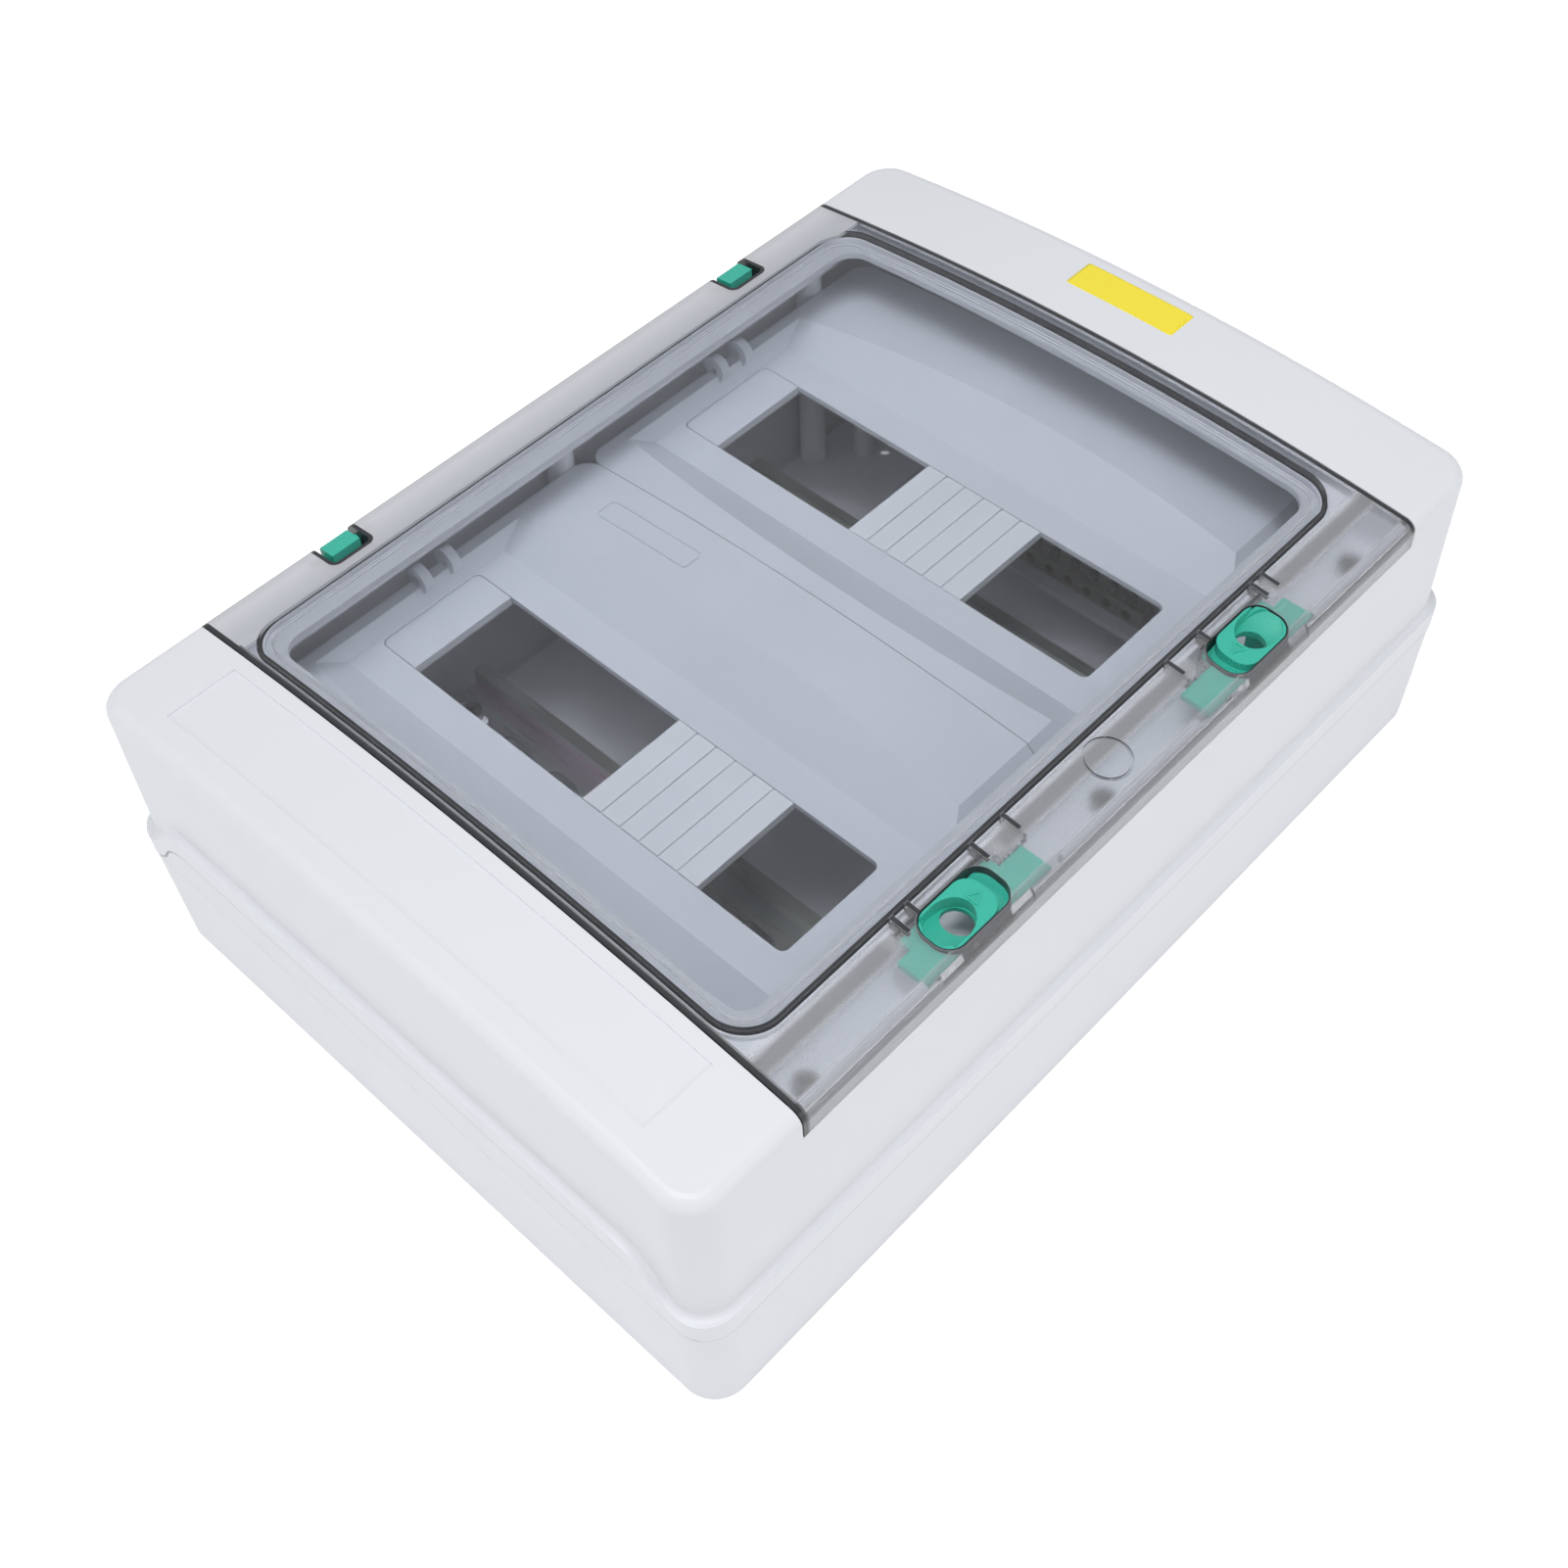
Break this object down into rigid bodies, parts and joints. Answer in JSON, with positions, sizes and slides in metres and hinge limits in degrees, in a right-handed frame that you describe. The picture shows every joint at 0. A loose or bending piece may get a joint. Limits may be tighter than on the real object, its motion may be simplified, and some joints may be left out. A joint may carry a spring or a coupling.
{
  "type": "electrical distribution box",
  "caption": "Wall-mounted enclosure for modular devices: deep base, arched cover, hinged tinted door with sliding latches, blanked inner panels over mounting rails.",
  "frame": {"origin": "centre of the outer bounds at the back face, which lies on the wall", "axes": "+Z out of the wall, +Y to the top end, +X to the latch side of the door"},
  "size_m": [0.286, 0.4, 0.1345],
  "materials": {
    "housing": "fine satin moulding, light grey",
    "panel": "satin light grey",
    "blank": "satin light grey",
    "door": "clear moulding with a light smoke tint",
    "seal": "black foamed elastomer",
    "green": "glossy green moulding",
    "screw": "zinc plated",
    "rail": "zinc plated sheet",
    "spring": "spring wire",
    "brass": "plain brass",
    "carrier": "satin light grey"
  },
  "bodies": {
    "enclosure": {"base_box": "housing", "joint_seal": "seal", "front_cover": "housing", "door_seal": "seal", "cover_screws": "screw", "terminal_carrier": "carrier", "neutral_bar": "brass", "earth_bar": "brass", "terminal_screws": "screw", "rail_screws": "screw", "inner_panel_lower": "panel", "inner_panel_upper": "panel", "end_blank_lower": "blank", "end_blank_upper": "blank", "blanking_strip_lower": "blank", "blanking_strip_upper": "blank", "mounting_rail_lower": "rail", "mounting_rail_upper": "rail", "hinge_clip_lower": "green", "hinge_clip_upper": "green"},
    "door": {"door": "door", "latch_spring_lower": "spring", "latch_spring_upper": "spring"},
    "latch_lower": {"latch_lower": "green"},
    "latch_upper": {"latch_upper": "green"}
  },
  "joints": [
    {"name": "door_hinge", "type": "hinge", "parent": "enclosure", "child": "door", "pos_m": [-0.1345, 0, 0.12203], "axis": [0, -1, 0], "range_deg": [0, 105]},
    {"name": "latch_lower_slide", "type": "slide", "parent": "door", "child": "latch_lower", "axis": [0, 1, 0], "range_m": [0, 0.005], "stiffness_N_per_m": 300, "springref_m": -0.004, "deforming": ["latch_spring_lower"]},
    {"name": "latch_upper_slide", "type": "slide", "parent": "door", "child": "latch_upper", "axis": [0, -1, 0], "range_m": [0, 0.005], "stiffness_N_per_m": 300, "springref_m": -0.004, "deforming": ["latch_spring_upper"]}
  ]
}
